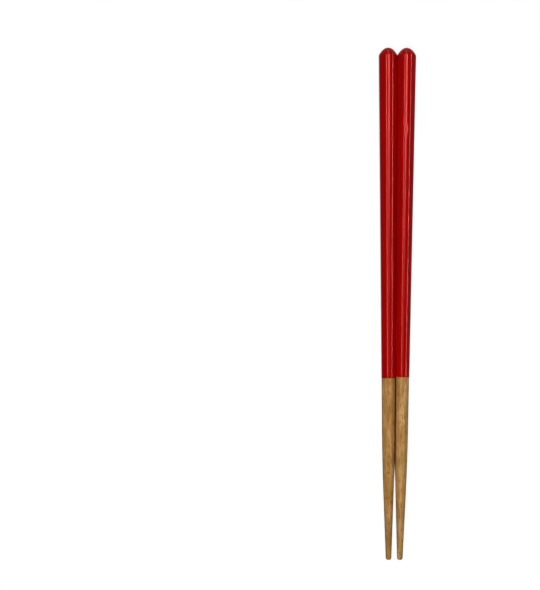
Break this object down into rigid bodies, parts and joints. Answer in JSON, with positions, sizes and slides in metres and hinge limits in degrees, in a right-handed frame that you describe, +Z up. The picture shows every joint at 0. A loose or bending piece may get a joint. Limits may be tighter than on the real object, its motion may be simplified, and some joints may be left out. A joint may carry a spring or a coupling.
{
  "type": "pair of wooden chopsticks",
  "caption": "Pair of wooden chopsticks: faceted tapering sticks with a domed butt, a glossy lacquered handle and a bare, slender, rounded tip for picking up food.",
  "frame": {"origin": "on the floor, midway along the pair, in the plane where the two sticks touch", "axes": "+Y along the sticks from the tips to the butts, +Z up from the floor, +X from the left stick to the right one"},
  "size_m": [0.0164, 0.225, 0.0082],
  "materials": {
    "lacquered_wood": "gloss"
  },
  "bodies": {
    "root": {"left_chopstick": "lacquered_wood", "right_chopstick": "lacquered_wood"}
  },
  "joints": []
}
